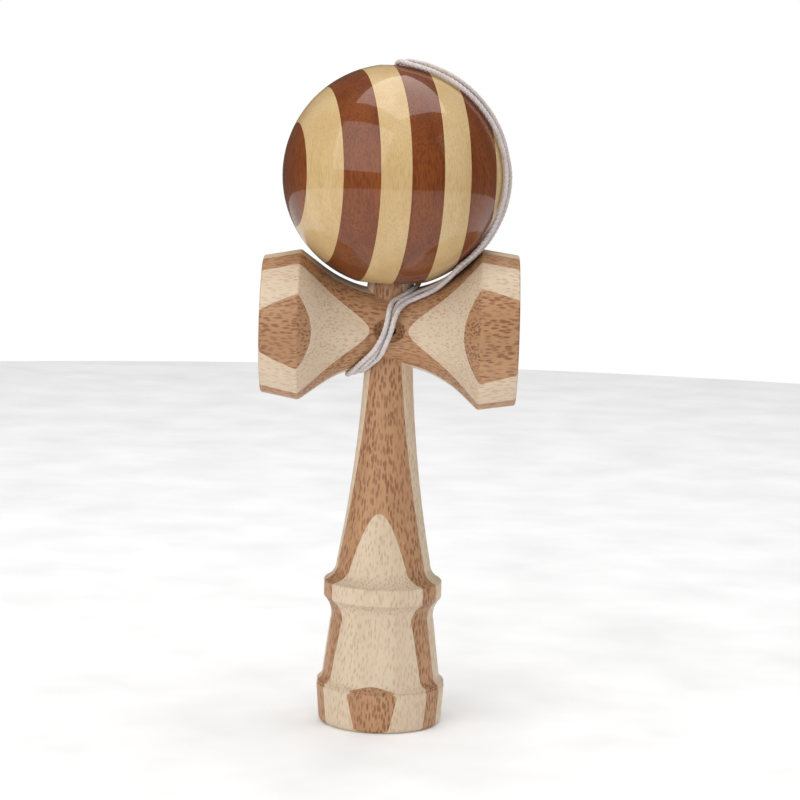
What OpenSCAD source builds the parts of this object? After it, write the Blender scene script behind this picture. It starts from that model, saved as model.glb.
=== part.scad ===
// Kendama of laminated bamboo: a handle with a spike and a base cup, a cross piece with
// two cups pressed on the stem, a lacquered ball that stands on the spike, and a cord.
// The origin is the middle of the base rim, where the handle stands. The ball lifts along +Z.

/* [Cross piece] */
// Length of the cross piece from rim to rim
cross_len = 69.2; // [66:0.2:84]
// Height of the cross piece's axis above the base rim
cross_z = 109.4; // [96:0.2:132]
// Radius of the waist in the middle of the cross piece
waist_r = 10.15; // [9.4:0.05:12.5]
// Radius of the ridge round the small cup
small_ridge_r = 20.5; // [19.6:0.1:23]
// Radius of the small cup's rim
small_rim_r = 18.6; // [18:0.1:20]
// Radius of the ridge round the big cup
big_ridge_r = 21.9; // [20.8:0.1:24]
// Radius of the big cup's rim
big_rim_r = 20.4; // [19.6:0.1:22]
// Distance from a rim back to its ridge
rim_w = 10.2; // [8:0.1:12.4]
// Width of the flat lip round each cup
lip_w = 1.8; // [1.2:0.1:2.6]
// Radius of the hollow in the small cup
small_cup_r = 21.5; // [19:0.5:30]
// Radius of the hollow in the big cup
big_cup_r = 23; // [21:0.5:32]
// Slope of the small cup's flare where it reaches the ridge
small_flare = 36; // [35:0.5:40]
// Slope of the big cup's flare where it reaches the ridge
big_flare = 43; // [42:0.5:45]

/* [Handle] */
// Radius of the stem inside the cross piece
stem_r = 6.5; // [5.6:0.1:7.4]
// Radius at the foot of the grip
grip_r = 12.85; // [11:0.05:14]
// Radius of the long hollow curve of the grip
grip_curve = 390; // [300:10:900]
// Radius of the collar
collar_r = 16.2; // [15:0.05:16.25]
// Height of the collar's lower edge
collar_z = 35.1; // [31:0.1:38]
// Width of the collar's band
collar_w = 4.5; // [3:0.1:6]
// Radius of the cove above the collar
upper_cove = 5.4; // [4:0.1:8]
// Radius of the cove below the collar
lower_cove = 7; // [5:0.1:9]
// Radius of the neck below the collar
neck_r = 14.05; // [13:0.05:14.6]
// Radius at the foot of the skirt
skirt_r = 16.05; // [15:0.05:16.2]
// Radius of the cove above the base ring
ring_cove = 3; // [2.4:0.1:4]
// Largest radius of the base ring
ring_r = 18.35; // [17.6:0.05:20]
// Height of the base ring
ring_h = 11.5; // [9.5:0.1:13.5]
// Radius of the base ring where it stands
foot_r = 17; // [16.6:0.05:17.4]
// Rounding of the base ring's edges
ring_round = 1.4; // [1:0.1:1.8]
// Mouth radius of the base cup
base_mouth_r = 13.6; // [12:0.1:14.4]
// Radius of the hollow in the base cup
base_cup_r = 18; // [16:0.5:26]
// Height of the spike above the cross piece's axis
spike_h = 51.6; // [46:0.1:54]
// Radius of the rounded tip of the spike
tip_r = 2.2; // [1.8:0.1:3]

/* [Boards] */
// Half thickness of the handle's light core board
core_half = 5; // [4:0.1:5.4]
// Thickness of the handle's dark inner boards
inner_t = 5.35; // [4.8:0.05:5.8]
// Thickness of the handle's light outer boards
outer_t = 5.95; // [5.9:0.05:6.2]
// Half thickness of the cross piece's light core board
cross_core_half = 4.8; // [4:0.1:5.4]
// Thickness of the cross piece's dark inner boards
cross_inner_t = 5.8; // [5.7:0.05:6.1]
// Thickness of the cross piece's light outer boards
cross_outer_t = 7.2; // [6:0.1:7.6]
// How far the handle's boards are turned from the cross piece's
handle_turn = 7; // [-20:0.5:20]
// Thickness of the ball's light boards
ball_light_t = 7.9; // [7.4:0.1:8.1]
// Thickness of the ball's dark boards
ball_dark_t = 8.9; // [8.4:0.1:9.1]
// Distance of the first joint from the ball's middle
ball_first = 26.6; // [26.2:0.1:27.6]
// How far the ball's boards are turned from the cross piece's length
ball_turn = 13.5; // [-45:0.5:45]

/* [Ball] */
// Radius of the ball
ball_r = 30; // [30:0.1:36]
// Gap left between the resting ball and the cross piece
ball_gap = 0.84; // [0.1:0.02:1]
// Radius of the hole that takes the spike
hole_r = 9.6; // [9:0.1:11]
// Bevel round the mouth of the hole
mouth_bevel = 0.3; // [0.3:0.1:1.2]
// Room between the spike's tip and the roof of the hole
roof_room = 10.5; // [9.6:0.1:11.5]
// Radius of the small hole for the cord
cord_hole_r = 1.8; // [1.6:0.1:2.2]

/* [Small parts] */
// Diameter of the cord
cord_d = 1.4; // [1.2:0.1:1.6]
// Diameter of the cord bore through the waist and the stem
bore_d = 3.6; // [3.2:0.1:4]
// Diameter of the countersinks at the ends of the cord bore
sink_d = 7.9; // [6:0.1:8.6]
// Diameter of the toggle that holds the cord in the ball
toggle_d = 4.6; // [4.4:0.1:5.2]
// Length of the toggle
toggle_len = 9; // [7:0.5:12]
// Diameter of the knot at the cord's two ends
knot_d = 3.3; // [2.8:0.1:3.5]
// Width of the square peg in the collar
peg_w = 2.1; // [1.6:0.1:2.6]
// Length of the peg
peg_len = 4.6; // [3:0.1:5.4]

/* [Hidden] */
$fn = 96;

light_wood = "#E2CBA6";
dark_wood = "#A97B55";
light_ball = "#E0BE86";
dark_ball = "#86481F";
peg_wood = "#8F5F3A";
cloth_white = "#E9E4E2";
far = 200;             // larger than the whole object

// Cross piece: rims, ridges and the curve that leads up to each ridge
rim_x = cross_len / 2;
ridge_x = rim_x - rim_w;
// The flare is an arc that ends in a straight slope running through the ridge.
function flare_arc(ridge_r, slope) =
  (ridge_x * tan(slope) - (ridge_r - waist_r)) / (sin(slope) * tan(slope) - (1 - cos(slope)));
small_arc = flare_arc(small_ridge_r, small_flare);
big_arc = flare_arc(big_ridge_r, big_flare);
function waist_at(x) = x < 0
  ? waist_r + small_arc - sqrt(small_arc * small_arc - x * x)
  : waist_r + big_arc - sqrt(big_arc * big_arc - x * x);
cross_2 = cross_core_half + cross_inner_t;
cross_3 = cross_2 + cross_outer_t;
sink_depth = 2;

// Handle: where the coves, the grip and the ring meet
handle_2 = core_half + inner_t;
handle_3 = handle_2 + outer_t;
collar_top = collar_z + collar_w;
upper_x = grip_r + upper_cove;
upper_z = collar_top + sqrt(pow(upper_cove, 2) - pow(upper_x - collar_r, 2));
lower_x = neck_r + lower_cove;
lower_z = collar_z - sqrt(pow(lower_cove, 2) - pow(lower_x - collar_r, 2));
ring_x = skirt_r + ring_cove;
shoulder_r = ring_r - ring_round / 2;
skirt_z = ring_h + sqrt(pow(ring_cove, 2) - pow(ring_x - shoulder_r, 2));
grip_top = cross_z - waist_r + 1;
grip_len = grip_top - upper_z;
grip_chord = sqrt(pow(grip_len, 2) + pow(grip_r - stem_r, 2));
grip_tilt = atan((grip_r - stem_r) / grip_len);
grip_sag = sqrt(pow(grip_curve, 2) - pow(grip_chord / 2, 2));
grip_mid = [(grip_r + stem_r) / 2, (upper_z + grip_top) / 2];
grip_centre = grip_mid + grip_sag * [cos(grip_tilt), sin(grip_tilt)];
spike_base = cross_z + waist_r;
spike_top = cross_z + spike_h;
spike_taper = (stem_r - tip_r) / (spike_top - tip_r - spike_base);
// The inner boards run out on the spike, and end where this little is left of them.
sliver = 0.4;
sliver_z = spike_base + (stem_r - core_half - sliver) / spike_taper;

// Ball: it stands just clear of the flares, so its mouth sets its height
mouth_r = hole_r + mouth_bevel;
mouth_z = cross_z + max(waist_at(mouth_r), waist_at(-mouth_r)) + ball_gap;
ball_z = mouth_z + sqrt(ball_r * ball_r - mouth_r * mouth_r);
ball_top = ball_z + ball_r;
roof_z = spike_top + roof_room;
roof_cone = hole_r - cord_hole_r;
toggle_z = spike_top + toggle_d / 2 + cord_d + 0.9;
function ball_joint(i) =
  -ball_first + floor((i + 1) / 2) * ball_light_t + floor(i / 2) * ball_dark_t;

// Cord: it lies on the waist and on the ball with a little room under it. Its points are
// chosen by hand, as degrees round the waist from its top towards the front, as degrees
// round and up the ball, or straight as [x, y, z].
cord_room = 0.35;
cord_gap = 0.3;
cord_end = 6;          // how far in front of the stem's middle the cord ends, at its knot
knot_flat = 0.35;      // how much of the knot is flattened against the cord's ends
toggle_drop = cord_d / 2 + toggle_d / 2 + 0.2;
function on_waist(x, turn, lift = 0) =
  let (r = waist_at(x) + cord_d / 2 + cord_room + lift)
  [x, -r * sin(turn), cross_z + r * cos(turn)];
function on_ball(turn, rise, lift = 0) =
  let (r = ball_r + cord_d / 2 + cord_room + lift)
  [r * cos(rise) * cos(turn), r * cos(rise) * sin(turn), ball_z + r * sin(rise)];

// From the knot in the stem out of the back, twice across the front, to the ball's side
long_wrap = [[-0.8, -cord_end, cross_z], [-0.8, 1, cross_z], [-0.8, 8, cross_z],
  [-1.5, 10.2, cross_z - 0.5], [-3.3, 11.25, cross_z - 2],
  on_waist(-5.7, 243), on_waist(-8, 225), on_waist(-10, 204), on_waist(-11.2, 182),
  on_waist(-10, 160), on_waist(-8, 143), on_waist(-6, 130, 0.1), on_waist(-4.2, 117, 0.8),
  on_waist(-2.6, 104, 1.1), on_waist(-1.3, 90, 1.3), on_waist(-0.5, 75, 1.3),
  on_waist(-0.1, 62, 1.2), on_waist(0.8, 48, 0.5), on_waist(3, 37), on_waist(5.8, 25),
  on_waist(7.45, 7), on_waist(7.3, -13), on_waist(6.9, -38), on_waist(6, -62), on_waist(4, -85),
  on_waist(1.2, -106), on_waist(-3, -128), on_waist(-6.2, -150), on_waist(-8, -176),
  on_waist(-6.5, -200), on_waist(-4.4, -217), on_waist(-2.6, -230, 0.1),
  on_waist(-1.6, -243, 0.9), on_waist(-0.6, -256, 1.25), on_waist(0.5, -270, 1.3),
  on_waist(1.3, -285, 1.3), on_waist(2.5, -299, 1), on_waist(4.4, -311, 0.1),
  on_waist(6.8, -317), on_waist(9.4, -321.5), on_waist(12.3, -325.5, 0.2)];
// Up the ball's side, through its top, round the toggle and down the side again
over_ball = [[15.4, -8.9, mouth_z + 1.7],
  on_ball(-28, -48.5, 0.1), on_ball(-23.5, -41), on_ball(-19.5, -32), on_ball(-17, -20),
  on_ball(-15, -8), on_ball(-14, 4), on_ball(-15, 16), on_ball(-17, 28), on_ball(-21, 41),
  on_ball(-27, 54), on_ball(-40, 66), on_ball(-62, 76), on_ball(-79, 81.5),
  [0, -1.9, ball_top - 0.3], [0, -0.85, ball_top - 2.4], [0, -0.85, ball_top - 7],
  [0, -2, toggle_z + 4.6], [0, -3.1, toggle_z + 1.4], [0, -2.9, toggle_z - 1.3],
  [0, -1.6, toggle_z - 2.8], [0, 0, toggle_z - toggle_drop], [0, 1.6, toggle_z - 2.8],
  [0, 2.9, toggle_z - 1.3], [0, 3.1, toggle_z + 1.4], [0, 2, toggle_z + 4.6],
  [0, 0.85, ball_top - 7], [0, 0.85, ball_top - 2.4], [0.9, 0.85, ball_top - 0.1],
  [3.3, 0.85, ball_top + 0.8], on_ball(2, 74), on_ball(0, 62), on_ball(0, 49), on_ball(0, 36),
  on_ball(0, 24), on_ball(0, 12), on_ball(0, 0, 0.3), on_ball(-1, -12, 0.2),
  on_ball(-4, -22), on_ball(-10, -31), on_ball(-16.5, -38.5), on_ball(-21, -45),
  [17.3, -7, mouth_z + 3.3]];
// Once across the front, and in at the back to the knot
short_wrap = [[14, -6.9, mouth_z + 0.8],
  on_waist(10.8, 29, 0.1), on_waist(7.9, 31.5), on_waist(5.3, 38.5), on_waist(2.8, 47),
  on_waist(1.2, 61), on_waist(0.4, 75), on_waist(-0.4, 90), on_waist(-1.5, 104),
  on_waist(-2.9, 117), on_waist(-4.3, 130), on_waist(-6.1, 143), on_waist(-8.2, 160),
  on_waist(-9.6, 182), on_waist(-8.3, 204), on_waist(-6.1, 224), on_waist(-3.3, 241),
  [-1.1, 11.25, cross_z - 2.6], [0.2, 10.25, cross_z - 0.8], [0.8, 8, cross_z],
  [0.8, 1, cross_z], [0.8, -cord_end, cross_z]];

// The solid between two upright planes y = a and y = b
module between(a, b) {
  translate([-far / 2, a, -far / 4]) cube([far, b - a, 1.5 * far]);
}

// Outline of one half of the cross piece, radius across and length up
module flare_outline(ridge_r, rim_r, arc, slope) {
  difference() {
    polygon([[0, 0], [waist_r + arc * (1 - cos(slope)), 0],
      [waist_r + arc * (1 - cos(slope)), arc * sin(slope)], [ridge_r, ridge_x],
      [rim_r, rim_x], [0, rim_x]]);
    translate([waist_r + arc, 0]) circle(r = arc, $fn = 360);
  }
}

// Hollow of a cup, opening along +Z at the height of the rim
module cup_hollow(mouth, hollow_r) {
  translate([0, 0, rim_x + sqrt(hollow_r * hollow_r - mouth * mouth)]) sphere(r = hollow_r);
}

module cross_solid() {
  translate([0, 0, cross_z]) difference() {
    rotate([0, 90, 0]) difference() {
      union() {
        rotate_extrude() flare_outline(big_ridge_r, big_rim_r, big_arc, big_flare);
        mirror([0, 0, 1])
          rotate_extrude() flare_outline(small_ridge_r, small_rim_r, small_arc, small_flare);
      }
      cup_hollow(big_rim_r - lip_w, big_cup_r);
      mirror([0, 0, 1]) cup_hollow(small_rim_r - lip_w, small_cup_r);
    }
    cylinder(r = stem_r, h = far, center = true);
    cord_bore();
  }
}

// Bore for the cord, from the front of the waist to its back, with its countersinks, which
// are sink_d wide at the waist's own radius
module cord_bore() {
  widening = (sink_d - bore_d) / sink_depth;
  rotate([90, 0, 0]) {
    cylinder(d = bore_d, h = far, center = true);
    for (side = [0, 1]) mirror([0, 0, side]) translate([0, 0, waist_r - sink_depth])
      cylinder(d1 = bore_d, d2 = bore_d + 1.5 * sink_depth * widening, h = 1.5 * sink_depth);
  }
}

// Outline of the handle, radius across and height up
module handle_outline() {
  top_c = [shoulder_r - ring_round, ring_h - ring_round];
  low_c = [foot_r - ring_round, ring_round];
  side = (top_c - low_c) / norm(top_c - low_c);
  out = ring_round * [side.y, -side.x];
  polygon([[0, 0], [low_c.x, 0], low_c, low_c + out, top_c + out, top_c,
    [top_c.x, ring_h], [0, ring_h]]);
  translate(top_c) circle(r = ring_round);
  translate(low_c) circle(r = ring_round);
  // skirt, and the coves at its two ends
  difference() {
    polygon([[0, ring_h - 1], [shoulder_r - ring_round, ring_h - 1], [shoulder_r, ring_h],
      [shoulder_r, skirt_z], [skirt_r, skirt_z], [neck_r, lower_z], [collar_r, lower_z],
      [collar_r, collar_z + 1], [0, collar_z + 1]]);
    translate([ring_x, skirt_z]) circle(r = ring_cove);
    translate([lower_x, lower_z]) circle(r = lower_cove);
  }
  // collar, and the cove above it
  difference() {
    translate([0, collar_z]) square([collar_r, upper_z - collar_z]);
    translate([upper_x, upper_z]) circle(r = upper_cove);
  }
  // grip, hollowed by a long curve
  difference() {
    polygon([[0, upper_z - 1], [grip_r, upper_z - 1], [grip_r, upper_z],
      [stem_r, grip_top], [0, grip_top]]);
    translate(grip_centre) circle(r = grip_curve, $fn = 720);
  }
  // stem and spike
  translate([0, grip_top - 1]) square([stem_r, spike_base - grip_top + 1]);
  polygon([[0, spike_base - 1], [stem_r, spike_base - 1], [stem_r, spike_base],
    [tip_r, spike_top - tip_r], [0, spike_top - tip_r]]);
  translate([0, spike_top - tip_r]) intersection() {
    circle(r = tip_r);
    square(tip_r);
  }
}

module handle_solid() {
  difference() {
    rotate_extrude() handle_outline();
    translate([0, 0, -sqrt(base_cup_r * base_cup_r - base_mouth_r * base_mouth_r)])
      sphere(r = base_cup_r);
    translate([0, 0, cross_z]) rotate([90, 0, 0])
      cylinder(d = bore_d, h = far, center = true);
    peg_rod();
  }
}

module handle_board(a, b) {
  intersection() {
    handle_solid();
    rotate([0, 0, -handle_turn]) between(a, b);
    translate([-far / 2, -far / 2, 0]) cube([far, far, sliver_z]);
  }
}

// Square rod with its corners rounded, running out through the front of the collar
module peg_rod() {
  rotate([0, 0, -handle_turn]) translate([0, 0, collar_z + collar_w / 2]) rotate([90, 0, 0])
    translate([0, 0, collar_r - peg_len]) intersection() {
      translate([-peg_w / 2, -peg_w / 2, 0]) cube([peg_w, peg_w, 2 * peg_len]);
      cylinder(d = 1.25 * peg_w, h = 2 * peg_len);
    }
}

// A board of the cross piece, or only its half on one side: -1 the small cup, 1 the big cup
module cross_board(a, b, side = 0) {
  intersection() {
    cross_solid();
    between(a, b);
    if (side != 0) translate([side > 0 ? 0 : -far, -far / 2, 0]) cube(far);
  }
}

module ball_solid() {
  difference() {
    translate([0, 0, ball_z]) sphere(r = ball_r, $fn = 240);
    // the spike's hole, bevelled at its mouth and coned at its roof
    translate([0, 0, ball_z - ball_r - 1]) cylinder(r = hole_r, h = roof_z - ball_z + ball_r + 1);
    translate([0, 0, mouth_z - 5]) cylinder(r1 = mouth_r + 5, r2 = hole_r, h = 5 + mouth_bevel);
    translate([0, 0, roof_z]) cylinder(r1 = hole_r, r2 = cord_hole_r, h = roof_cone / 2);
    // the cord's hole, countersunk on top
    translate([0, 0, roof_z]) cylinder(r = cord_hole_r, h = far);
    translate([0, 0, ball_top - 3.4]) cylinder(r1 = cord_hole_r, r2 = cord_hole_r + 3, h = 4);
  }
}

module ball_board(i) {
  a = i == 1 ? -ball_r - 1 : ball_joint(i - 2);
  b = i == 8 ? ball_r + 1 : ball_joint(i - 1);
  color(i % 2 == 1 ? dark_ball : light_ball) intersection() {
    ball_solid();
    rotate([0, 0, ball_turn - 90]) between(a, b);
  }
}

// A closed tube with a ring of eight points at each point of the route
module cord_tube(route) {
  last = len(route) - 1;
  along = [for (i = [0:last])
    let (v = route[min(i + 1, last)] - route[max(i - 1, 0)]) v / norm(v)];
  start = cross(along[0], [0.3, 0.5, 0.8]);
  // each ring's first direction is the one before, laid square to the route
  across = [for (i = 0, a = start / norm(start); i <= last; i = i + 1,
    b = a - (a * along[min(i, last)]) * along[min(i, last)], a = b / norm(b)) a];
  rings = [for (i = [0:last], k = [0:7])
    route[i] + cord_d / 2 * (cos(45 * k) * across[i] + sin(45 * k) * cross(along[i], across[i]))];
  sides = [for (i = [0:last - 1], k = [0:7])
    [8 * i + k, 8 * i + 8 + k, 8 * i + 8 + (k + 1) % 8, 8 * i + (k + 1) % 8]];
  ends = [[for (k = [0:7]) k], [for (k = [7:-1:0]) 8 * last + k]];
  color(cloth_white) polyhedron(points = rings, faces = concat(sides, ends));
}

// The point where a tube on the next body begins, a small gap after this one
function after_gap(from, to) = from + cord_gap * (to - from) / norm(to - from);

module handle_core() {
  color(light_wood) intersection() {
    handle_solid();
    rotate([0, 0, -handle_turn]) union() {
      between(-core_half, core_half);
      translate([-far / 2, -far / 2, sliver_z]) cube(far);
    }
  }
}
module handle_inner_front() { color(dark_wood) handle_board(-handle_2, -core_half); }
module handle_inner_back() { color(dark_wood) handle_board(core_half, handle_2); }
module handle_outer_front() { color(light_wood) handle_board(-handle_3, -handle_2); }
module handle_outer_back() { color(light_wood) handle_board(handle_2, handle_3); }
module handle_face_front() { color(dark_wood) handle_board(-far / 2, -handle_3); }
module handle_face_back() { color(dark_wood) handle_board(handle_3, far / 2); }
module collar_peg() {
  color(peg_wood) intersection() {
    peg_rod();
    cylinder(r = collar_r, h = far);
  }
}

module cross_core_small() { color(light_wood) cross_board(-cross_core_half, cross_core_half, -1); }
module cross_core_big() { color(light_wood) cross_board(-cross_core_half, cross_core_half, 1); }
module cross_inner_front() { color(dark_wood) cross_board(-cross_2, -cross_core_half); }
module cross_inner_back() { color(dark_wood) cross_board(cross_core_half, cross_2); }
module small_cup_outer_front() { color(light_wood) cross_board(-cross_3, -cross_2, -1); }
module small_cup_outer_back() { color(light_wood) cross_board(cross_2, cross_3, -1); }
module big_cup_outer_front() { color(light_wood) cross_board(-cross_3, -cross_2, 1); }
module big_cup_outer_back() { color(light_wood) cross_board(cross_2, cross_3, 1); }
module small_cup_face_front() { color(dark_wood) cross_board(-far / 2, -cross_3, -1); }
module small_cup_face_back() { color(dark_wood) cross_board(cross_3, far / 2, -1); }
module big_cup_face_front() { color(dark_wood) cross_board(-far / 2, -cross_3, 1); }
module big_cup_face_back() { color(dark_wood) cross_board(cross_3, far / 2, 1); }

module cord_toggle() {
  color(light_wood) translate([0, 0, toggle_z]) rotate([0, 90, 0])
    cylinder(d = toggle_d, h = toggle_len, center = true);
}

module cord_knot() {
  color(cloth_white) translate([0, -cord_end, cross_z]) rotate([90, 0, 0]) intersection() {
    translate([0, 0, knot_d / 2 - knot_flat]) sphere(d = knot_d);
    translate([-knot_d, -knot_d, 0]) cube(2 * knot_d);
  }
}
module cord_long_wrap() { cord_tube(long_wrap); }
module cord_short_wrap() { cord_tube(short_wrap); }
module cord_over_ball() {
  first = after_gap(long_wrap[len(long_wrap) - 1], over_ball[0]);
  last = after_gap(short_wrap[0], over_ball[len(over_ball) - 1]);
  cord_tube(concat([first], over_ball, [last]));
}

handle_core();
handle_inner_front();
handle_inner_back();
handle_outer_front();
handle_outer_back();
handle_face_front();
handle_face_back();
collar_peg();
cross_core_small();
cross_core_big();
cross_inner_front();
cross_inner_back();
small_cup_outer_front();
small_cup_outer_back();
big_cup_outer_front();
big_cup_outer_back();
small_cup_face_front();
small_cup_face_back();
big_cup_face_front();
big_cup_face_back();
ball_board(1);  // ball_board_1
ball_board(2);  // ball_board_2
ball_board(3);  // ball_board_3
ball_board(4);  // ball_board_4
ball_board(5);  // ball_board_5
ball_board(6);  // ball_board_6
ball_board(7);  // ball_board_7
ball_board(8);  // ball_board_8
cord_toggle();
cord_knot();
cord_long_wrap();
cord_short_wrap();
cord_over_ball();
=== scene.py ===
# A kendama of laminated bamboo. The handle stands on its base rim with the lacquered ball over
# its spike, and the cord goes round the waist of the cross piece and over the ball.
import math
import bpy
import bmesh
from mathutils import Matrix, Vector


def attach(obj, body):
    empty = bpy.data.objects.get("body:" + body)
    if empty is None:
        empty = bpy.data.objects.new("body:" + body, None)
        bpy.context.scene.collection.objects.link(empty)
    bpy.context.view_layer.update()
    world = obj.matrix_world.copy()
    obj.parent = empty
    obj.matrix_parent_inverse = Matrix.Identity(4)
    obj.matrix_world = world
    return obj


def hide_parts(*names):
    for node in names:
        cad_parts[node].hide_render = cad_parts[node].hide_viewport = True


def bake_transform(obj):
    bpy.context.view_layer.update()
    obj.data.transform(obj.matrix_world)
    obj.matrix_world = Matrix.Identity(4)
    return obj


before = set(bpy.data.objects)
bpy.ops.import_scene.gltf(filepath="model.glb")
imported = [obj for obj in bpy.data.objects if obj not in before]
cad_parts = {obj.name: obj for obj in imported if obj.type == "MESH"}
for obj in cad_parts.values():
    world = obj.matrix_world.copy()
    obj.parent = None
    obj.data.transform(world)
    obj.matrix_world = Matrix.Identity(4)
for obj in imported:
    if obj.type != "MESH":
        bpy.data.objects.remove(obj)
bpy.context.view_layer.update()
scene = bpy.context.scene
mm = 0.001

cameraSettings = {"distance": 0.700, "height": 0.18559, "side": 0.573, "turn": 0.298,
                  "down": 7.82, "roll": 1.59, "lens": 116.45, "sensor": 36}


def makeCamera(s):
    data = bpy.data.cameras.new("camera")
    data.lens, data.sensor_width, data.clip_start = s["lens"], s["sensor"], 0.01
    camera = bpy.data.objects.new("camera", data)
    scene.collection.objects.link(camera)
    side = math.radians(s["side"])
    place = Matrix.Translation((s["distance"] * math.sin(side), -s["distance"] * math.cos(side), s["height"]))
    aim = Matrix.Rotation(math.radians(s["turn"]), 4, "Z")
    tilt = Matrix.Rotation(math.radians(90 - s["down"]), 4, "X")
    roll = Matrix.Rotation(math.radians(s["roll"]), 4, "Z")
    camera.matrix_world = place @ aim @ tilt @ roll
    scene.camera = camera


makeCamera(cameraSettings)
print("camera ready")

# measures that the pieces share, in millimetres
waist = {"radius": 10.15, "smallArc": 31.2522, "bigArc": 29.9552, "axis": 109.4, "bore": 1.8}
ball = {"radius": 30, "centre": 150.3927, "top": 180.3927, "mouth": 122.0732}
# how far the boards are turned, in degrees
turns = {"handle": 7, "ball": 13.5}
# edges that turn by more than this many degrees stay sharp
woodCrease, cordCrease, toggleCrease = 30, 60, 40

# cord: "room" is what is left under it, and "toggle" the height of the rod that it hangs from
cordSettings = {"diameter": 1.4, "room": 0.35, "lobes": 3, "groove": 0.17, "twist": 3.9,
                "ringStep": 0.32, "ringPoints": 24, "toggle": 165.6}


def waistAt(x):
    arc = waist["smallArc"] if x < 0 else waist["bigArc"]
    return waist["radius"] + arc - math.sqrt(arc * arc - x * x)


def onWaist(x, turn, lift=0):
    r = waistAt(x) + cordSettings["diameter"] / 2 + cordSettings["room"] + lift
    a = math.radians(turn)
    return (x, -r * math.sin(a), waist["axis"] + r * math.cos(a))


def onBall(turn, rise, lift=0):
    r = ball["radius"] + cordSettings["diameter"] / 2 + cordSettings["room"] + lift
    a, e = math.radians(turn), math.radians(rise)
    return (r * math.cos(e) * math.cos(a), r * math.cos(e) * math.sin(a), ball["centre"] + r * math.sin(e))


def cordRoute():
    # from the knot round the waist, over the ball and down into it, and back to the knot
    z, m, top, t = waist["axis"], ball["mouth"], ball["top"], cordSettings["toggle"]
    longWrap = [(-0.8, -6, z), (-0.8, 1, z), (-0.8, 8, z), (-1.5, 10.2, z - 0.5), (-3.3, 11.25, z - 2)]
    longWrap += [onWaist(*p) for p in [
        (-5.7, 243), (-8, 225), (-10, 204), (-11.2, 182), (-10, 160), (-8, 143), (-6, 130, 0.1),
        (-4.2, 117, 0.8), (-2.6, 104, 1.1), (-1.3, 90, 1.3), (-0.5, 75, 1.3), (-0.1, 62, 1.2),
        (0.8, 48, 0.5), (3, 37), (5.8, 25), (7.45, 7), (7.3, -13), (6.9, -38), (6, -62), (4, -85),
        (1.2, -106), (-3, -128), (-6.2, -150), (-8, -176), (-6.5, -200), (-4.4, -217),
        (-2.6, -230, 0.1), (-1.6, -243, 0.9), (-0.6, -256, 1.25), (0.5, -270, 1.3), (1.3, -285, 1.3),
        (2.5, -299, 1), (4.4, -311, 0.1), (6.8, -317), (9.4, -321.5), (12.3, -325.5, 0.2)]]
    overBall = [(15.4, -8.9, m + 1.7)]
    overBall += [onBall(*p) for p in [
        (-28, -48.5, 0.1), (-23.5, -41), (-19.5, -32), (-17, -20), (-15, -8), (-14, 4), (-15, 16),
        (-17, 28), (-21, 41), (-27, 54), (-40, 66), (-62, 76), (-79, 81.5)]]
    overBall += [(0, -1.9, top - 0.3), (0, -0.85, top - 2.4), (0, -0.85, top - 7), (0, -2, t + 4.6),
                 (0, -3.1, t + 1.4), (0, -2.9, t - 1.3), (0, -1.6, t - 2.8), (0, 0, t - 3.2),
                 (0, 1.6, t - 2.8), (0, 2.9, t - 1.3), (0, 3.1, t + 1.4), (0, 2, t + 4.6),
                 (0, 0.85, top - 7), (0, 0.85, top - 2.4), (0.9, 0.85, top - 0.1), (3.3, 0.85, top + 0.8)]
    overBall += [onBall(*p) for p in [
        (2, 74), (0, 62), (0, 49), (0, 36), (0, 24), (0, 12), (0, 0, 0.3), (-1, -12, 0.2), (-4, -22),
        (-10, -31), (-16.5, -38.5), (-21, -45)]]
    overBall += [(17.3, -7, m + 3.3)]
    shortWrap = [(14, -6.9, m + 0.8)]
    shortWrap += [onWaist(*p) for p in [
        (10.8, 29, 0.1), (7.9, 31.5), (5.3, 38.5), (2.8, 47), (1.2, 61), (0.4, 75), (-0.4, 90),
        (-1.5, 104), (-2.9, 117), (-4.3, 130), (-6.1, 143), (-8.2, 160), (-9.6, 182), (-8.3, 204),
        (-6.1, 224), (-3.3, 241)]]
    shortWrap += [(-1.1, 11.25, z - 2.6), (0.2, 10.25, z - 0.8), (0.8, 8, z), (0.8, 1, z), (0.8, -6, z)]
    return [Vector(p) * mm for p in longWrap + overBall + shortWrap]


def smoothed(points, closed=False, cuts=12):
    # a smooth line through the points, with this many cuts between two of them
    n = len(points)
    near = (lambda i: points[i % n]) if closed else (lambda i: points[min(max(i, 0), n - 1)])
    line = []
    for i in range(n if closed else n - 1):
        a, b, c, d = near(i - 1), near(i), near(i + 1), near(i + 2)
        for k in range(cuts):
            t = k / cuts
            line.append(0.5 * (2 * b + (c - a) * t + (2 * a - 5 * b + 4 * c - d) * t * t
                               + (3 * b - a - 3 * c + d) * t ** 3))
    return line if closed else line + [points[-1]]


def evenly(line, step):
    # the same line with its points an equal distance apart
    far = [0]
    for a, b in zip(line, line[1:]):
        far.append(far[-1] + (b - a).length)
    count = round(far[-1] / step)
    out, i = [], 0
    for k in range(count + 1):
        want = far[-1] * k / count
        while i < len(line) - 2 and far[i + 1] < want:
            i += 1
        out.append(line[i].lerp(line[i + 1], (want - far[i]) / (far[i + 1] - far[i])))
    return out, far[-1]


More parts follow.
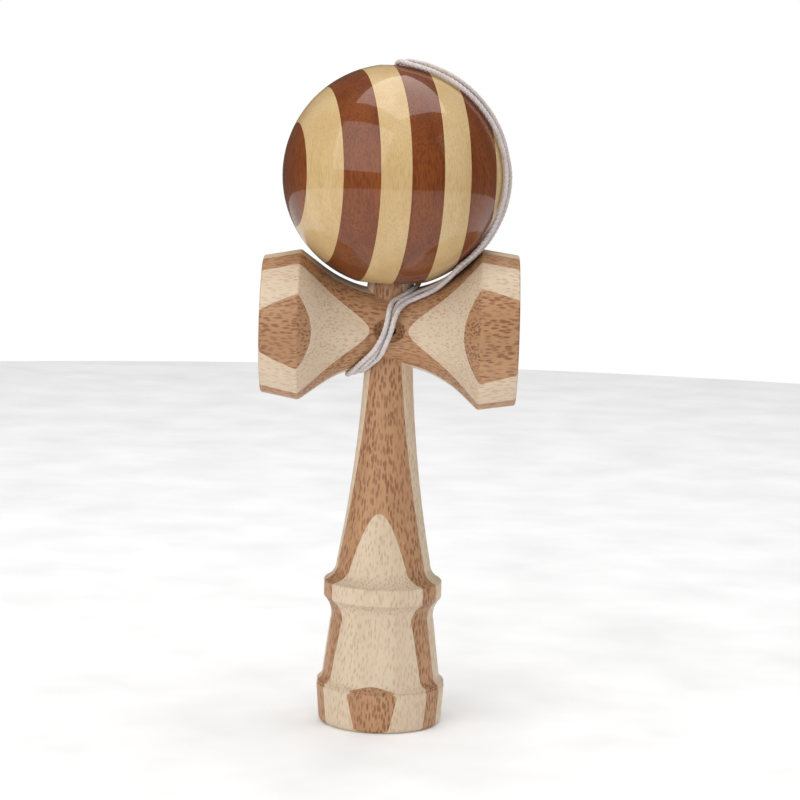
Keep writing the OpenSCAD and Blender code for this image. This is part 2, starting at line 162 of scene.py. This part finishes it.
def twistedTube(name, line, radius, s, closed=False):
    # three strands laid up as one: a lobed ring that turns as it goes along the line
    bm = bmesh.new()
    uvLayer = bm.loops.layers.uv.new("UVMap")
    n, count = s["ringPoints"], len(line)
    along = [((line[(i + 1) % count] if closed else line[min(i + 1, count - 1)])
              - (line[i - 1] if closed or i else line[0])).normalized() for i in range(count)]
    side = along[0].orthogonal().normalized()
    rings, gone = [], 0
    for i, here in enumerate(line):
        side = (side - side.dot(along[i]) * along[i]).normalized()
        up = along[i].cross(side)
        gone += (here - line[i - 1]).length if i else 0
        spin = 2 * math.pi * gone / (s["twist"] * mm)
        ring = []
        for k in range(n):
            a = 2 * math.pi * k / n
            r = radius * (1 - s["groove"] * (1 - abs(math.cos(s["lobes"] / 2 * a))))
            ring.append(bm.verts.new(here + r * (math.cos(a + spin) * side + math.sin(a + spin) * up)))
        rings.append(ring)
    for i in range(count if closed else count - 1):
        for k in range(n):
            a, b = rings[i], rings[(i + 1) % count]
            face = bm.faces.new((a[k], a[(k + 1) % n], b[(k + 1) % n], b[k]))
            for loop, (u, v) in zip(face.loops, ((k, i), (k + 1, i), (k + 1, i + 1), (k, i + 1))):
                loop[uvLayer].uv = (u / n, v * s["ringStep"] / s["twist"])
    if not closed:
        bm.faces.new(rings[0][::-1])
        bm.faces.new(rings[-1])
    bmesh.ops.recalc_face_normals(bm, faces=bm.faces)
    return finishMesh(name, bm, cordCrease)


def rounded(bm, edges, size, cuts=3):
    bmesh.ops.bevel(bm, geom=edges, offset=size * mm, affect="EDGES", segments=cuts, profile=0.5, material=-1)


def finishMesh(name, bm, crease):
    # smooth faces, with sharp edges where they meet at more than the crease angle
    for face in bm.faces:
        face.smooth = True
    for edge in bm.edges:
        if len(edge.link_faces) == 2 and edge.calc_face_angle(0) > math.radians(crease):
            edge.smooth = False
    mesh = bpy.data.meshes.new(name)
    bm.to_mesh(mesh)
    bm.free()
    piece = bpy.data.objects.new(name, mesh)
    scene.collection.objects.link(piece)
    return piece


cordLine, cordLength = evenly(smoothed(cordRoute()), cordSettings["ringStep"] * mm)
cord = twistedTube("cord", cordLine, cordSettings["diameter"] / 2 * mm, cordSettings)
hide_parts("cord_long_wrap", "cord_short_wrap", "cord_over_ball")
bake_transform(cord)
print("cord of %.0f mm ready" % (cordLength / mm))

knotSettings = {"centre": (0, -7.3, 109.4), "size": 0.36, "radius": 0.58, "points": 48, "ringPoints": 18}


def makeKnot(s):
    # the two ends of the cord drawn into one small hard knot
    centre, points = Vector(s["centre"]), []
    for i in range(s["points"]):
        a = 2 * math.pi * i / s["points"]
        points.append((centre + s["size"] * Vector((math.sin(a) + 2 * math.sin(2 * a), -1.1 * math.sin(3 * a),
                                                    math.cos(a) - 2 * math.cos(2 * a)))) * mm)
    line = smoothed(points, closed=True, cuts=4)
    strands = {**cordSettings, "ringPoints": s["ringPoints"]}
    knot = twistedTube("cord_end_knot", line, s["radius"] * mm, strands, closed=True)
    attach(knot, "handle")
    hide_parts("cord_knot")
    return knot


toggleSettings = {"radius": 2.3, "length": 9, "sides": 64, "bevel": 0.35}


def makeToggle(s):
    bm = bmesh.new()
    bmesh.ops.create_cone(bm, cap_ends=True, segments=s["sides"], radius1=s["radius"] * mm,
                          radius2=s["radius"] * mm, depth=s["length"] * mm)
    rims = [e for e in bm.edges if any(len(f.verts) > 4 for f in e.link_faces)]
    rounded(bm, rims, s["bevel"])
    bmesh.ops.rotate(bm, cent=(0, 0, 0), matrix=Matrix.Rotation(math.pi / 2, 3, "Y"), verts=bm.verts)
    bmesh.ops.translate(bm, vec=(0, 0, cordSettings["toggle"] * mm), verts=bm.verts)
    toggle = finishMesh("toggle", bm, toggleCrease)
    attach(toggle, "cord_top")
    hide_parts("cord_toggle")
    return toggle


knot = makeKnot(knotSettings)
toggle = makeToggle(toggleSettings)
print("knot and toggle ready")


def turned(outline, steps, rounding, crease=22):
    # turns an outline round the upright axis; a line is (radius, height) of its end, and an arc
    # is its centre, its end and its number of cuts
    bm = bmesh.new()
    first = last = bm.verts.new((outline[0][0] * mm, 0, outline[0][1] * mm))
    for part in outline[1:]:
        if len(part) == 2:
            vert = bm.verts.new((part[0] * mm, 0, part[1] * mm))
            bm.edges.new((last, vert))
            last = vert
            continue
        cx, cz, ex, ez, cuts = part
        start = math.atan2(last.co.z / mm - cz, last.co.x / mm - cx)
        sweep = (math.atan2(ez - cz, ex - cx) - start + math.pi) % (2 * math.pi) - math.pi
        arc = bmesh.ops.spin(bm, geom=[last], cent=(cx * mm, 0, cz * mm), axis=(0, -1, 0), angle=sweep,
                             steps=cuts)
        last = [g for g in arc["geom_last"] if isinstance(g, bmesh.types.BMVert)][0]
    if (last.co - first.co).length < 0.01 * mm:
        bmesh.ops.remove_doubles(bm, verts=bm.verts, dist=0.01 * mm)
    bmesh.ops.spin(bm, geom=bm.verts[:] + bm.edges[:], cent=(0, 0, 0), axis=(0, 0, 1), angle=2 * math.pi,
                   steps=steps, use_merge=True)
    bmesh.ops.remove_doubles(bm, verts=bm.verts, dist=0.002 * mm)
    bmesh.ops.recalc_face_normals(bm, faces=bm.faces)
    corners = [e for e in bm.edges if len(e.link_faces) == 2 and e.calc_face_angle(0) > math.radians(crease)]
    rounded(bm, corners, rounding)
    return bm


def sawn(bm, cuts):
    # keeps what lies behind each cut, a point and an outward direction, and closes it
    part = bm.copy()
    for point, out in cuts:
        geom = part.verts[:] + part.edges[:] + part.faces[:]
        cut = bmesh.ops.bisect_plane(part, geom=geom, dist=0.0005 * mm, plane_co=point, plane_no=out,
                                     clear_outer=True)
        edges = [g for g in cut["geom_cut"] if isinstance(g, bmesh.types.BMEdge)]
        bmesh.ops.triangle_fill(part, use_beauty=True, use_dissolve=False, edges=edges, normal=out)
    bmesh.ops.recalc_face_normals(part, faces=part.faces)
    return part


def carved(piece, operation, cutters):
    # the piece cut by each cutter, with the result made part of its mesh
    for tool in cutters:
        cut = piece.modifiers.new("cut", "BOOLEAN")
        cut.operation, cut.solver, cut.object = operation, "EXACT", tool
    bm = bmesh.new()
    bm.from_mesh(bpy.data.meshes.new_from_object(piece.evaluated_get(bpy.context.evaluated_depsgraph_get())))
    name = piece.name
    bpy.data.objects.remove(piece)
    bmesh.ops.remove_doubles(bm, verts=bm.verts, dist=0.001 * mm)
    return finishMesh(name, bm, woodCrease)


def boardBetween(shape, low, high, direction, extra=()):
    # the slab of a shape between two parallel saw cuts
    cuts = list(extra)
    if high is not None:
        cuts.append((direction * high * mm, direction))
    if low is not None:
        cuts.append((direction * low * mm, -direction))
    return sawn(shape, cuts)


def dress(piece, body, cadNode, material):
    # puts a finished piece on its body, in place of its CAD node
    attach(piece, body)
    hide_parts(cadNode)
    piece.data.materials.append(material)


# ways of writing a material's nodes
def newMaterial(name):
    material = bpy.data.materials.new(name)
    material.use_nodes = True
    material.node_tree.nodes.clear()
    nodes = material.node_tree.nodes
    shader, output = nodes.new("ShaderNodeBsdfPrincipled"), nodes.new("ShaderNodeOutputMaterial")
    material.node_tree.links.new(shader.outputs[0], output.inputs[0])
    return material, material.node_tree, shader


def maths(tree, operation, *values):
    made = tree.nodes.new("ShaderNodeMath")
    made.operation = operation
    for socket, value in zip(made.inputs, values):
        if isinstance(value, (int, float)):
            socket.default_value = value
        else:
            tree.links.new(value, socket)
    return made.outputs[0]


def ranged(tree, value, low, high, outLow=0, outHigh=1):
    made = tree.nodes.new("ShaderNodeMapRange")
    made.interpolation_type = "SMOOTHSTEP"
    tree.links.new(value, made.inputs["Value"])
    for socket, number in zip(made.inputs[1:5], (low, high, outLow, outHigh)):
        socket.default_value = number
    return made.outputs["Result"]


def mixed(tree, factor, a, b, blend="MIX"):
    made = tree.nodes.new("ShaderNodeMix")
    made.data_type, made.blend_type = "RGBA", blend
    for socket, value in ((made.inputs[0], factor), (made.inputs[6], a), (made.inputs[7], b)):
        if isinstance(value, bpy.types.NodeSocket):
            tree.links.new(value, socket)
        else:
            socket.default_value = (*value, 1) if isinstance(value, tuple) else value
    return made.outputs[2]


def noise(tree, vector, scale, detail=2, roughness=0.5):
    made = tree.nodes.new("ShaderNodeTexNoise")
    made.inputs["Scale"].default_value = scale
    made.inputs["Detail"].default_value = detail
    made.inputs["Roughness"].default_value = roughness
    tree.links.new(vector, made.inputs["Vector"])
    return made.outputs["Fac"]


def mapped(tree, vector, scale, place=(0, 0, 0), turn=0):
    made = tree.nodes.new("ShaderNodeMapping")
    made.inputs["Scale"].default_value = scale
    made.inputs["Location"].default_value = place
    made.inputs["Rotation"].default_value = (0, 0, turn)
    tree.links.new(vector, made.inputs[0])
    return made.outputs[0]


def screen(r, g, b):
    # a colour as the screen shows it, turned into the amounts of light that nodes use
    return tuple(((c / 255 + 0.055) / 1.055) ** 2.4 for c in (r, g, b))


# bamboo: flesh with fibre bundles, thin tubes that run along the grain; pairs are the widths of a
# pattern across the grain and along it
bundleSettings = {"wander": 1.0, "sway": 60, "soft": 0.15, "random": 0.9, "patches": (3.5, 22),
                  "lines": (0.3, 9), "broad": (6, 60), "relief": 0.04}
lacquerSettings = {"under": 0.15, "coat": 0.75, "rough": 0.05, "density": 1.52, "waves": 190,
                   "strength": 0.05, "relief": 0.4}
bambooSettings = {
    "light": {"flesh": (222, 203, 177), "deep": (209, 187, 158), "fibre": (190, 152, 120),
              "endFlesh": (199, 179, 157), "ends": (164, 136, 112), "across": 0.66, "along": 2.5,
              "core": 0.37, "strength": 0.6, "rough": 0.5, "relief": 0.35, "lacquer": False},
    "dark": {"flesh": (194, 150, 110), "deep": (170, 126, 88), "fibre": (136, 84, 56),
             "endFlesh": (168, 128, 94), "ends": (112, 72, 48), "across": 0.7, "along": 2.6,
             "core": 0.43, "strength": 0.85, "rough": 0.48, "relief": 0.45, "lacquer": False},
    "ballLight": {"flesh": (217, 189, 140), "deep": (198, 164, 110), "fibre": (182, 138, 80),
                  "endFlesh": (211, 185, 140), "ends": (182, 146, 98), "across": 0.42, "along": 3,
                  "core": 0.36, "strength": 0.42, "rough": 0.42, "relief": 0.12, "lacquer": True},
    "ballDark": {"flesh": (142, 76, 32), "deep": (106, 50, 17), "fibre": (74, 32, 11),
                 "endFlesh": (138, 76, 36), "ends": (70, 32, 13), "across": 0.42, "along": 3,
                 "core": 0.4, "strength": 0.5, "rough": 0.42, "relief": 0.12, "lacquer": True}}


def bamboo(name, kind, grain, seed):
    s, b = bambooSettings[kind], bundleSettings
    material, tree, shader = newMaterial(name)
    coords = tree.nodes.new("ShaderNodeTexCoord")
    place = coords.outputs["Object"]
    # the bundles wander a little from the straight
    shift = tree.nodes.new("ShaderNodeVectorMath")
    shift.operation = "MULTIPLY_ADD"
    sway = tree.nodes.new("ShaderNodeTexNoise")
    sway.inputs["Scale"].default_value = b["sway"]
    sway.inputs["Detail"].default_value = 1
    tree.links.new(place, sway.inputs["Vector"])
    tree.links.new(sway.outputs["Color"], shift.inputs[0])
    shift.inputs[1].default_value = (b["wander"] * mm,) * 3
    tree.links.new(place, shift.inputs[2])

    def alongGrain(across, along, offset):
        wide, long = 1 / (across * mm), 1 / (along * mm)
        scale = (long, wide, wide) if grain == "X" else (wide, wide, long)
        start, turn = (offset, 0.7 * offset, 1.3 * offset), 0.4 if grain == "Z" else 0
        return mapped(tree, shift.outputs[0], scale, start, turn)

    cells = tree.nodes.new("ShaderNodeTexVoronoi")
    cells.inputs["Scale"].default_value = 1
    cells.inputs["Randomness"].default_value = b["random"]
    tree.links.new(alongGrain(s["across"], s["along"], seed), cells.inputs["Vector"])
    bundle = ranged(tree, cells.outputs["Distance"], s["core"] - b["soft"], s["core"] + b["soft"], 1, 0)
    patches = noise(tree, alongGrain(*b["patches"], seed + 3), 1)
    bundle = maths(tree, "MULTIPLY", bundle, ranged(tree, patches, 0.34, 0.6, 0.55, 1))
    lines = noise(tree, alongGrain(*b["lines"], seed + 5), 1, 4, 0.65)
    broad = noise(tree, alongGrain(*b["broad"], seed + 9), 1, 3)

    # where the surface lies across the grain the bundles show as dots, and the wood is deeper
    normal = tree.nodes.new("ShaderNodeSeparateXYZ")
    tree.links.new(coords.outputs["Normal"], normal.inputs[0])
    ends = ranged(tree, maths(tree, "ABSOLUTE", normal.outputs[grain]), 0.15, 0.9)

    tone = maths(tree, "ADD", maths(tree, "MULTIPLY", ranged(tree, broad, 0.3, 0.7), 0.55),
                 maths(tree, "MULTIPLY", ranged(tree, lines, 0.3, 0.7), 0.45))
    pale = mixed(tree, ends, screen(*s["flesh"]), screen(*s["endFlesh"]))
    flesh = mixed(tree, tone, screen(*s["deep"]), pale)
    fibre = mixed(tree, ends, screen(*s["fibre"]), screen(*s["ends"]))
    colour = mixed(tree, maths(tree, "MULTIPLY", bundle, s["strength"]), flesh, fibre)
    tree.links.new(colour, shader.inputs["Base Color"])

    rough = maths(tree, "ADD", maths(tree, "MULTIPLY", lines, 0.16), maths(tree, "MULTIPLY", bundle, 0.1))
    tree.links.new(maths(tree, "ADD", rough, s["rough"] - 0.1), shader.inputs["Roughness"])
    relief = tree.nodes.new("ShaderNodeBump")
    relief.inputs["Strength"].default_value = s["relief"]
    relief.inputs["Distance"].default_value = b["relief"] * mm
    height = maths(tree, "SUBTRACT", maths(tree, "MULTIPLY", lines, 0.5), bundle)
    tree.links.new(height, relief.inputs["Height"])
    tree.links.new(relief.outputs[0], shader.inputs["Normal"])
    shader.inputs["IOR"].default_value = 1.46
    if s["lacquer"]:
        addLacquer(tree, shader, place, lacquerSettings)
    return material


def addLacquer(tree, shader, place, s):
    # a clear coat over the wood, a little wavy as brushed lacquer is
    shader.inputs["Specular IOR Level"].default_value = s["under"]
    shader.inputs["Coat Weight"].default_value = s["coat"]
    shader.inputs["Coat Roughness"].default_value = s["rough"]
    shader.inputs["Coat IOR"].default_value = s["density"]
    skin = tree.nodes.new("ShaderNodeBump")
    skin.inputs["Strength"].default_value = s["strength"]
    skin.inputs["Distance"].default_value = s["relief"] * mm
    tree.links.new(noise(tree, place, s["waves"], 1), skin.inputs["Height"])
    tree.links.new(skin.outputs[0], shader.inputs["Coat Normal"])


def clothCord(name, settings):
    # long fine fibres that run along the cord, on its own UV map
    material, tree, shader = newMaterial(name)
    uv = tree.nodes.new("ShaderNodeTexCoord").outputs["UV"]
    fibres = noise(tree, mapped(tree, uv, (26, 1.6, 1)), 1, 3, 0.7)
    place = tree.nodes.new("ShaderNodeTexCoord").outputs["Object"]
    patches = noise(tree, place, 420, 2)
    tone = maths(tree, "ADD", maths(tree, "MULTIPLY", ranged(tree, fibres, 0.3, 0.7), 0.7),
                 maths(tree, "MULTIPLY", ranged(tree, patches, 0.3, 0.7), 0.3))
    tree.links.new(mixed(tree, tone, screen(*settings["shade"]), screen(*settings["light"])),
                   shader.inputs["Base Color"])
    rough = maths(tree, "ADD", maths(tree, "MULTIPLY", fibres, 0.25), 0.45)
    tree.links.new(rough, shader.inputs["Roughness"])
    relief = tree.nodes.new("ShaderNodeBump")
    relief.inputs["Strength"].default_value = 0.6
    relief.inputs["Distance"].default_value = 0.06 * mm
    tree.links.new(fibres, relief.inputs["Height"])
    tree.links.new(relief.outputs[0], shader.inputs["Normal"])
    shader.inputs["Sheen Weight"].default_value = 0.35
    shader.inputs["Sheen Roughness"].default_value = 0.4
    return material


# the knot's colours are the white cord in painted shade, darker and tinged yellow-green by painted light
# thrown back from the wood
fibreSettings = {"cord": {"light": (232, 224, 222), "shade": (196, 184, 180)},
                 "knot": {"light": (206, 196, 150), "shade": (150, 138, 84)}}
cord.data.materials.append(clothCord("cord_fibre", fibreSettings["cord"]))
# the knot is the same cord, given its colours in painted shade rather than a colour of its own
knot.data.materials.append(clothCord("knot_painted_shade_fibre", fibreSettings["knot"]))
toggle.data.materials.append(bamboo("toggle_wood", "light", "X", 31))
print("materials ready")

# handle: seven boards glued flat, then turned
handleSettings = {
    "steps": 192, "rounding": 0.3,
    "coreHalf": 5, "innerTo": 10.35, "outerTo": 16.3, "sliverTop": 129.591,
    "outline": [
        (0, 6.2085), (0, -11.7915, 13.6, 0, 26), (15.6, 0), (15.6, 1.4, 16.9961, 1.2957, 8),
        (17.6461, 9.9957), (16.25, 10.1, 17.1688, 11.1563, 6), (17.65, 11.5),
        (19.05, 14.1533, 16.05, 14.1533, 12), (14.2681, 28.3188),
        (21.05, 30.0525, 16.2, 35.1, 18), (16.2, 39.6), (18.25, 44.5957, 12.85, 44.5957, 18),
        (396.1605, 116.5198, 6.5, 100.25, 40), (6.5, 119.55), (2.2, 158.8), (0, 158.8, 0, 161, 12)]}
pegSettings = {"width": 2.1, "corner": 0.42, "height": 37.35, "from": 11.6, "to": 16.2, "past": 20}
reach = 20          # how far a cutter for a bore goes out from the middle


def rod(radius, start, end, endRadius=None, sides=64):
    # a round cutter between two points, in millimetres, which may widen towards its end
    start, end = Vector(start), Vector(end)
    endRadius = endRadius or radius
    bm = bmesh.new()
    bmesh.ops.create_cone(bm, cap_ends=True, segments=sides, radius1=radius * mm, radius2=endRadius * mm,
                          depth=(end - start).length * mm)
    aim = (end - start).to_track_quat("Z", "Y").to_matrix()
    bmesh.ops.rotate(bm, cent=(0, 0, 0), matrix=aim, verts=bm.verts)
    bmesh.ops.translate(bm, vec=(start + end) / 2 * mm, verts=bm.verts)
    return bm


def pegShape(s):
    # a square rod with rounded corners that points out of the front of the collar
    near, far, side = s["from"], s["past"], s["width"] * mm
    bm = bmesh.new()
    bmesh.ops.create_cube(bm, size=1)
    bmesh.ops.scale(bm, vec=(side, (far - near) * mm, side), verts=bm.verts)
    long = [e for e in bm.edges if abs(e.verts[0].co.y - e.verts[1].co.y) > 0.1 * mm]
    rounded(bm, long, s["corner"], 4)
    bmesh.ops.translate(bm, vec=(0, -(near + far) / 2 * mm, s["height"] * mm), verts=bm.verts)
    turn = Matrix.Rotation(-math.radians(turns["handle"]), 3, "Z")
    bmesh.ops.rotate(bm, cent=(0, 0, 0), matrix=turn, verts=bm.verts)
    return bm


def cutter(bm):
    bmesh.ops.recalc_face_normals(bm, faces=bm.faces)
    return finishMesh("cutter", bm, woodCrease)


def putAway(cutters):
    for used in cutters:
        bpy.data.objects.remove(used)


def makeHandle(s):
    whole = turned(s["outline"], s["steps"], s["rounding"])
    inner, outer, core, high = s["innerTo"], s["outerTo"], s["coreHalf"], waist["axis"]
    angle = math.radians(turns["handle"])
    across = Vector((math.sin(angle), math.cos(angle), 0))
    top, up = Vector((0, 0, s["sliverTop"] * mm)), Vector((0, 0, 1))
    boards = [("handle_core", -core, core, "light"),
              ("handle_inner_front", -inner, -core, "dark"), ("handle_inner_back", core, inner, "dark"),
              ("handle_outer_front", -outer, -inner, "light"), ("handle_outer_back", inner, outer, "light"),
              ("handle_face_front", None, -outer, "dark"), ("handle_face_back", outer, None, "dark")]
    bore = cutter(rod(waist["bore"], (0, -reach, high), (0, reach, high)))
    pegHole = cutter(pegShape(pegSettings))
    for number, (name, near, far, kind) in enumerate(boards):
        shape = boardBetween(whole, near, far, across, [(top, up)])
        if name == "handle_core":
            # the core is left round above the height where the dark boards run out
            shape = joined(shape, sawn(whole, [(top, -up)]), s["sliverTop"])
        piece = finishMesh(name + "_wood", shape, woodCrease)
        if "core" in name or "inner" in name:
            piece = carved(piece, "DIFFERENCE", [bore])
        if name == "handle_outer_front":
            piece = carved(piece, "DIFFERENCE", [pegHole])
        dress(piece, "handle", name, bamboo(name + "_grain", kind, "Z", 3 + 11 * number))
    whole.free()
    putAway((bore, pegHole))


def joined(below, above, height):
    # two parts of one board, made one again where they meet
    for bm, up in ((below, 1), (above, -1)):
        flat = [f for f in bm.faces if all(abs(v.co.z - height * mm) < 0.001 * mm for v in f.verts)]
        bmesh.ops.delete(bm, geom=flat, context="FACES_ONLY")
    spare = bpy.data.meshes.new("spare")
    above.to_mesh(spare)
    below.from_mesh(spare)
    bmesh.ops.remove_doubles(below, verts=below.verts, dist=0.002 * mm)
    rim = [e for e in below.edges if e.is_boundary]
    bmesh.ops.triangle_fill(below, use_beauty=True, use_dissolve=False, edges=rim, normal=(0, 0, 1))
    bmesh.ops.recalc_face_normals(below, faces=below.faces)
    bpy.data.meshes.remove(spare)
    above.free()
    return below


def makePeg(s):
    # its outer end follows the collar, so it is cut from a disc of the collar's radius
    peg = finishMesh("collar_peg_wood", pegShape(s), woodCrease)
    low, high = (0, 0, s["height"] - reach / 2), (0, 0, s["height"] + reach / 2)
    collar = cutter(rod(s["to"], low, high, sides=handleSettings["steps"]))
    peg = carved(peg, "INTERSECT", [collar])
    putAway([collar])
    dress(peg, "handle", "collar_peg", bamboo("peg_grain", "light", "Z", 77))


makeHandle(handleSettings)
makePeg(pegSettings)
print("handle ready")

# cross piece: five layers glued flat, turned into two cups with a waist between
crossSettings = {
    "steps": 192, "rounding": 0.45, "crease": 30,
    "stem": 6.5, "coreHalf": 4.8, "innerTo": 10.6, "outerTo": 17.8,
    "sink": {"near": 8.15, "nearRadius": 1.8, "far": 11.15, "farRadius": 5.025},
    "outline": [
        (0, -26.5168), (0, -48.0168, 16.8, -34.6, 30), (18.6, -34.6), (20.5, -24.4), (16.1187, -18.3696),
        (waist["radius"] + waist["smallArc"], 0, waist["radius"], 0, 30),
        (waist["radius"] + waist["bigArc"], 0, 18.1973, 20.4294, 30),
        (21.9, 24.4), (20.4, 34.6), (18.6, 34.6), (0, 48.1292, 0, 25.1292, 30)]}


def makeCross(s):
    whole = turned(s["outline"], s["steps"], s["rounding"], s["crease"])
    bmesh.ops.rotate(whole, cent=(0, 0, 0), matrix=Matrix.Rotation(math.pi / 2, 3, "Y"), verts=whole.verts)
    bmesh.ops.translate(whole, vec=(0, 0, waist["axis"] * mm), verts=whole.verts)
    core, inner, outer, high = s["coreHalf"], s["innerTo"], s["outerTo"], waist["axis"]
    y, x, middle = Vector((0, 1, 0)), Vector((1, 0, 0)), Vector((0, 0, 0))
    small, big = [(middle, x)], [(middle, -x)]
    boards = [("cross_core_small", -core, core, "light", small),
              ("cross_core_big", -core, core, "light", big),
              ("cross_inner_front", -inner, -core, "dark", []), ("cross_inner_back", core, inner, "dark", []),
              ("small_cup_outer_front", -outer, -inner, "light", small),
              ("small_cup_outer_back", inner, outer, "light", small),
              ("big_cup_outer_front", -outer, -inner, "light", big),
              ("big_cup_outer_back", inner, outer, "light", big),
              ("small_cup_face_front", None, -outer, "dark", small),
              ("small_cup_face_back", outer, None, "dark", small),
              ("big_cup_face_front", None, -outer, "dark", big),
              ("big_cup_face_back", outer, None, "dark", big)]
    cutters = [cutter(rod(s["stem"], (0, 0, high - 2 * reach), (0, 0, high + 2 * reach), sides=s["steps"])),
               cutter(rod(waist["bore"], (0, -reach, high), (0, reach, high)))]
    sink = s["sink"]
    for out in (-1, 1):
        start, end = (0, out * sink["near"], high), (0, out * sink["far"], high)
        cutters.append(cutter(rod(sink["nearRadius"], start, end, sink["farRadius"], 96)))
    for number, (name, low, top, kind, half) in enumerate(boards):
        piece = finishMesh(name + "_wood", boardBetween(whole, low, top, y, half), woodCrease)
        if "core" in name or "inner" in name:
            # the countersinks don't reach the core
            piece = carved(piece, "DIFFERENCE", cutters[:2] if "core" in name else cutters)
        dress(piece, "handle", name, bamboo(name + "_grain", kind, "X", 5 + 13 * number))
    whole.free()
    putAway(cutters)


makeCross(crossSettings)
print("cross piece ready")

# ball: eight boards glued flat, turned, bored for the spike and lacquered
ballSettings = {
    "steps": 256, "rounding": 0.22, "boards": 8, "firstJoint": -26.6, "light": 7.9, "dark": 8.9,
    "outline": [
        (9.9, ball["mouth"]), (0, ball["centre"], 4.137, 180.1066, 150), (1.8, 176.9927), (1.8, 175.4),
        (9.6, 171.5), (9.6, 122.3732), (9.9, ball["mouth"])]}


def makeBall(s):
    whole = turned(s["outline"], s["steps"], s["rounding"])
    angle = math.radians(turns["ball"])
    across = Vector((math.cos(angle), math.sin(angle), 0))
    joints = [None, s["firstJoint"]]
    for number in range(s["boards"] - 2):
        joints.append(joints[-1] + (s["light"] if number % 2 == 0 else s["dark"]))
    joints.append(None)
    for number in range(s["boards"]):
        kind = "Dark" if number % 2 == 0 else "Light"
        name = "ball_board_%d" % (number + 1)
        shape = boardBetween(whole, joints[number], joints[number + 1], across)
        piece = finishMesh(name + "_wood", shape, woodCrease)
        wood = bamboo(name + "_grain", "ball" + kind, "Z", 9 + 17 * number)
        dress(piece, "ball", name, wood)
    whole.free()


makeBall(ballSettings)
print("ball ready")

# floor, world and lights
roomSettings = {"floor": 0.8, "floorColour": (222, 222, 222), "glow": 0.1, "seen": 1.0, "around": 0.45,
                "reflected": 0.08}
lampSettings = [
    # name, place, aimed at, width, height, power
    ("left_box", (-0.62, -0.78, 0.72), (0, 0, 0.13), 1.2, 1.0, 7.0),
    ("right_box", (0.95, -0.3, 0.45), (0, 0, 0.12), 0.6, 0.9, 0.8),
    ("top_box", (0.1, 0.1, 1.3), (0, 0, 0.12), 1.1, 1.1, 9.5)]


def makeFloor(s):
    bm = bmesh.new()
    bmesh.ops.create_circle(bm, cap_ends=True, segments=128, radius=s["floor"])
    floor = finishMesh("floor", bm, woodCrease)
    material, tree, shader = newMaterial("floor_card")
    place = tree.nodes.new("ShaderNodeTexCoord").outputs["Object"]
    tree.links.new(mixed(tree, noise(tree, place, 30), screen(*s["floorColour"]), (0.97, 0.97, 0.97)),
                   shader.inputs["Base Color"])
    shader.inputs["Roughness"].default_value = 0.9
    shader.inputs["Emission Color"].default_value = (1, 1, 1, 1)
    shader.inputs["Emission Strength"].default_value = s["glow"]
    floor.data.materials.append(material)


def makeWorld(s):
    world = bpy.data.worlds.new("studio")
    world.use_nodes = True
    scene.world = world
    tree = world.node_tree
    back = tree.nodes["Background"]
    back.inputs["Color"].default_value = (1, 1, 1, 1)
    # white behind the object, softer light from all round, and a darker room in the lacquer
    path = tree.nodes.new("ShaderNodeLightPath").outputs
    lacquer = maths(tree, "MULTIPLY", path["Is Glossy Ray"], s["reflected"] - s["around"])
    white = maths(tree, "MULTIPLY", path["Is Camera Ray"], s["seen"] - s["around"])
    total = maths(tree, "ADD", maths(tree, "ADD", lacquer, white), s["around"])
    tree.links.new(total, back.inputs["Strength"])


def makeLamps(lamps):
    for name, place, target, width, height, power in lamps:
        data = bpy.data.lights.new(name, "AREA")
        data.shape, data.size, data.size_y, data.energy = "RECTANGLE", width, height, power
        lamp = bpy.data.objects.new(name, data)
        scene.collection.objects.link(lamp)
        aim = (Vector(target) - Vector(place)).to_track_quat("-Z", "Y").to_matrix().to_4x4()
        lamp.matrix_world = Matrix.Translation(place) @ aim


makeFloor(roomSettings)
makeWorld(roomSettings)
makeLamps(lampSettings)
scene.view_settings.view_transform = "Standard"
print("room ready")
